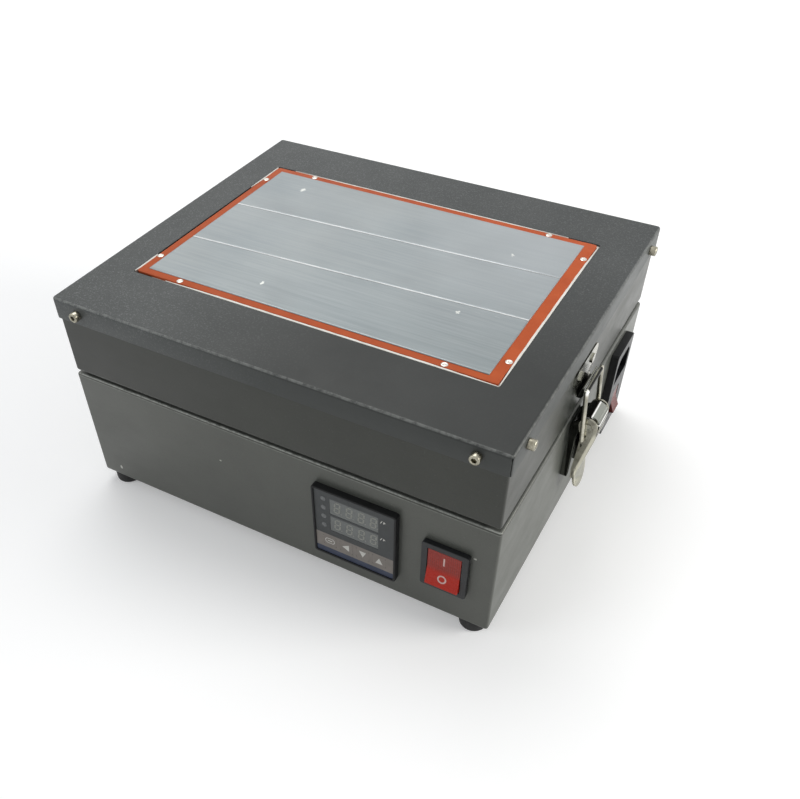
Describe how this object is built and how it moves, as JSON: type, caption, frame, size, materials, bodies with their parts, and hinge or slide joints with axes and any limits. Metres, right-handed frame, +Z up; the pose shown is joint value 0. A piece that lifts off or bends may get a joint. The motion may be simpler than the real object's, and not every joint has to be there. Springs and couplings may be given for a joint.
{
  "type": "reflow oven",
  "caption": "Bench-top reflow oven: dark sheet-steel base with a digital temperature controller and power switch, side inlet and draw latch, hinged lid with a flat framed heating window on top.",
  "frame": {"origin": "on the surface the feet stand on, under the middle of the whole outline from hinge barrels to latch knuckle and from the foot of the front rocker to the rear screw heads", "axes": "+X to the right, the latch and mains inlet side; +Y to the back; +Z up; the controller faces -Y"},
  "size_m": [0.304, 0.2488, 0.143],
  "materials": {
    "dark_paint": "satin dark grey baked paint",
    "lid_paint": "satin dark grey baked paint",
    "cap_paint": "dark grey paint with a fine speckle",
    "foot_rubber": "matte black rubber",
    "zinc": "zinc plated",
    "stainless": "stainless steel",
    "bright_sheet": "aluminised steel sheet",
    "ceramic_paper": "white ceramic fibre",
    "bezel_plastic": "black moulded plastic",
    "face_film": "charcoal printed film",
    "display_lens": "smoked lens",
    "lamp_lens": "clear lamp domes",
    "key_rubber": "taupe grey key tops",
    "switch_black": "black nylon",
    "switch_red": "translucent red",
    "pin_metal": "nickel plated",
    "relay_shell": "white moulded plastic",
    "heatsink_metal": "plain extruded",
    "terminal_plastic": "cream moulded plastic",
    "brass": "plain",
    "lead_brown": "brown lead jackets",
    "lead_red": "red lead jackets",
    "nickel": "nickel plated, lightly dulled",
    "hinge_steel": "nickel plated steel",
    "silicone": "orange brown silicone",
    "plate_metal": "satin aluminium with fine scratches",
    "eyelet_metal": "plated",
    "probe_metal": "stainless steel",
    "cutout_shell": "black bakelite",
    "lead_white": "glass braid",
    "seal_black": "black sealing strip"
  },
  "bodies": {
    "base": {"lower_case": "dark_paint", "feet": "foot_rubber", "foot_screws": "zinc", "foot_nuts": "zinc", "deck_frame": "bright_sheet", "chamber_pan": "bright_sheet", "tray_screws": "zinc", "tray_pad": "ceramic_paper", "controller_bezel": "bezel_plastic", "controller_housing": "bezel_plastic", "controller_clamp": "bezel_plastic", "controller_face": "face_film", "display_windows": "display_lens", "indicator_lamps": "lamp_lens", "switch_housing": "switch_black", "inlet_housing": "switch_black", "inlet_pins": "pin_metal", "relay": "relay_shell", "relay_heatsink": "heatsink_metal", "terminal_block": "terminal_plastic", "earth_stud": "brass", "mains_leads": "lead_brown", "control_leads": "lead_red", "latch_base": "nickel", "latch_rivets": "zinc", "latch_pin": "zinc", "hinge_leaves_base": "hinge_steel", "hinge_pins": "zinc", "hinge_screws_base": "zinc"},
    "lid": {"upper_case": "lid_paint", "top_cap": "cap_paint", "cap_screws": "stainless", "lid_liner": "bright_sheet", "liner_rivets": "zinc", "insulation_board": "ceramic_paper", "heater_mat": "silicone", "plate_front": "plate_metal", "plate_middle": "plate_metal", "plate_rear": "plate_metal", "ceramic_edge": "ceramic_paper", "mat_eyelets": "eyelet_metal", "thermocouple": "probe_metal", "thermal_cutout": "cutout_shell", "heater_leads": "lead_white", "lid_seal": "seal_black", "strike_plate": "nickel", "strike_rivets": "zinc", "hinge_leaves_lid": "hinge_steel", "hinge_screws_lid": "zinc"},
    "lever": {"latch_lever": "nickel"},
    "bail": {"latch_bail": "nickel"},
    "front_rocker": {"switch_rocker": "switch_red"},
    "rear_rocker": {"inlet_rocker": "switch_red"},
    "key_1": {"key_set": "key_rubber"},
    "key_2": {"key_left": "key_rubber"},
    "key_3": {"key_down": "key_rubber"},
    "key_4": {"key_up": "key_rubber"}
  },
  "joints": [
    {"name": "lid_hinge", "type": "hinge", "parent": "base", "child": "lid", "pos_m": [-0.1488, 0.0004, 0.08975], "axis": [0, -1, 0], "range_deg": [0, 100]},
    {"name": "latch_lever_hinge", "type": "hinge", "parent": "base", "child": "lever", "pos_m": [0.1462, -0.0081, 0.0875], "axis": [0, -1, 0], "range_deg": [0, 120]},
    {"name": "latch_bail_hinge", "type": "hinge", "parent": "lever", "child": "bail", "pos_m": [0.1448, -0.0081, 0.0792], "axis": [0, 1, 0], "range_deg": [0, 168]},
    {"name": "front_switch", "type": "hinge", "parent": "base", "child": "front_rocker", "pos_m": [0.1079, -0.1184, 0.048], "axis": [1, 0, 0], "range_deg": [0, 12]},
    {"name": "inlet_switch", "type": "hinge", "parent": "base", "child": "rear_rocker", "pos_m": [0.1374, 0.0759, 0.039], "axis": [0, 1, 0], "range_deg": [0, 22]},
    {"name": "key_set_press", "type": "slide", "parent": "base", "child": "key_1", "axis": [0, 1, 0], "range_m": [0, 0.0004], "stiffness_N_per_m": 400},
    {"name": "key_left_press", "type": "slide", "parent": "base", "child": "key_2", "axis": [0, 1, 0], "range_m": [0, 0.0004], "stiffness_N_per_m": 400},
    {"name": "key_down_press", "type": "slide", "parent": "base", "child": "key_3", "axis": [0, 1, 0], "range_m": [0, 0.0004], "stiffness_N_per_m": 400},
    {"name": "key_up_press", "type": "slide", "parent": "base", "child": "key_4", "axis": [0, 1, 0], "range_m": [0, 0.0004], "stiffness_N_per_m": 400}
  ],
  "couplings": [
    {"joint": "latch_bail_hinge", "follows": "latch_lever_hinge", "ratio": 1.4}
  ]
}
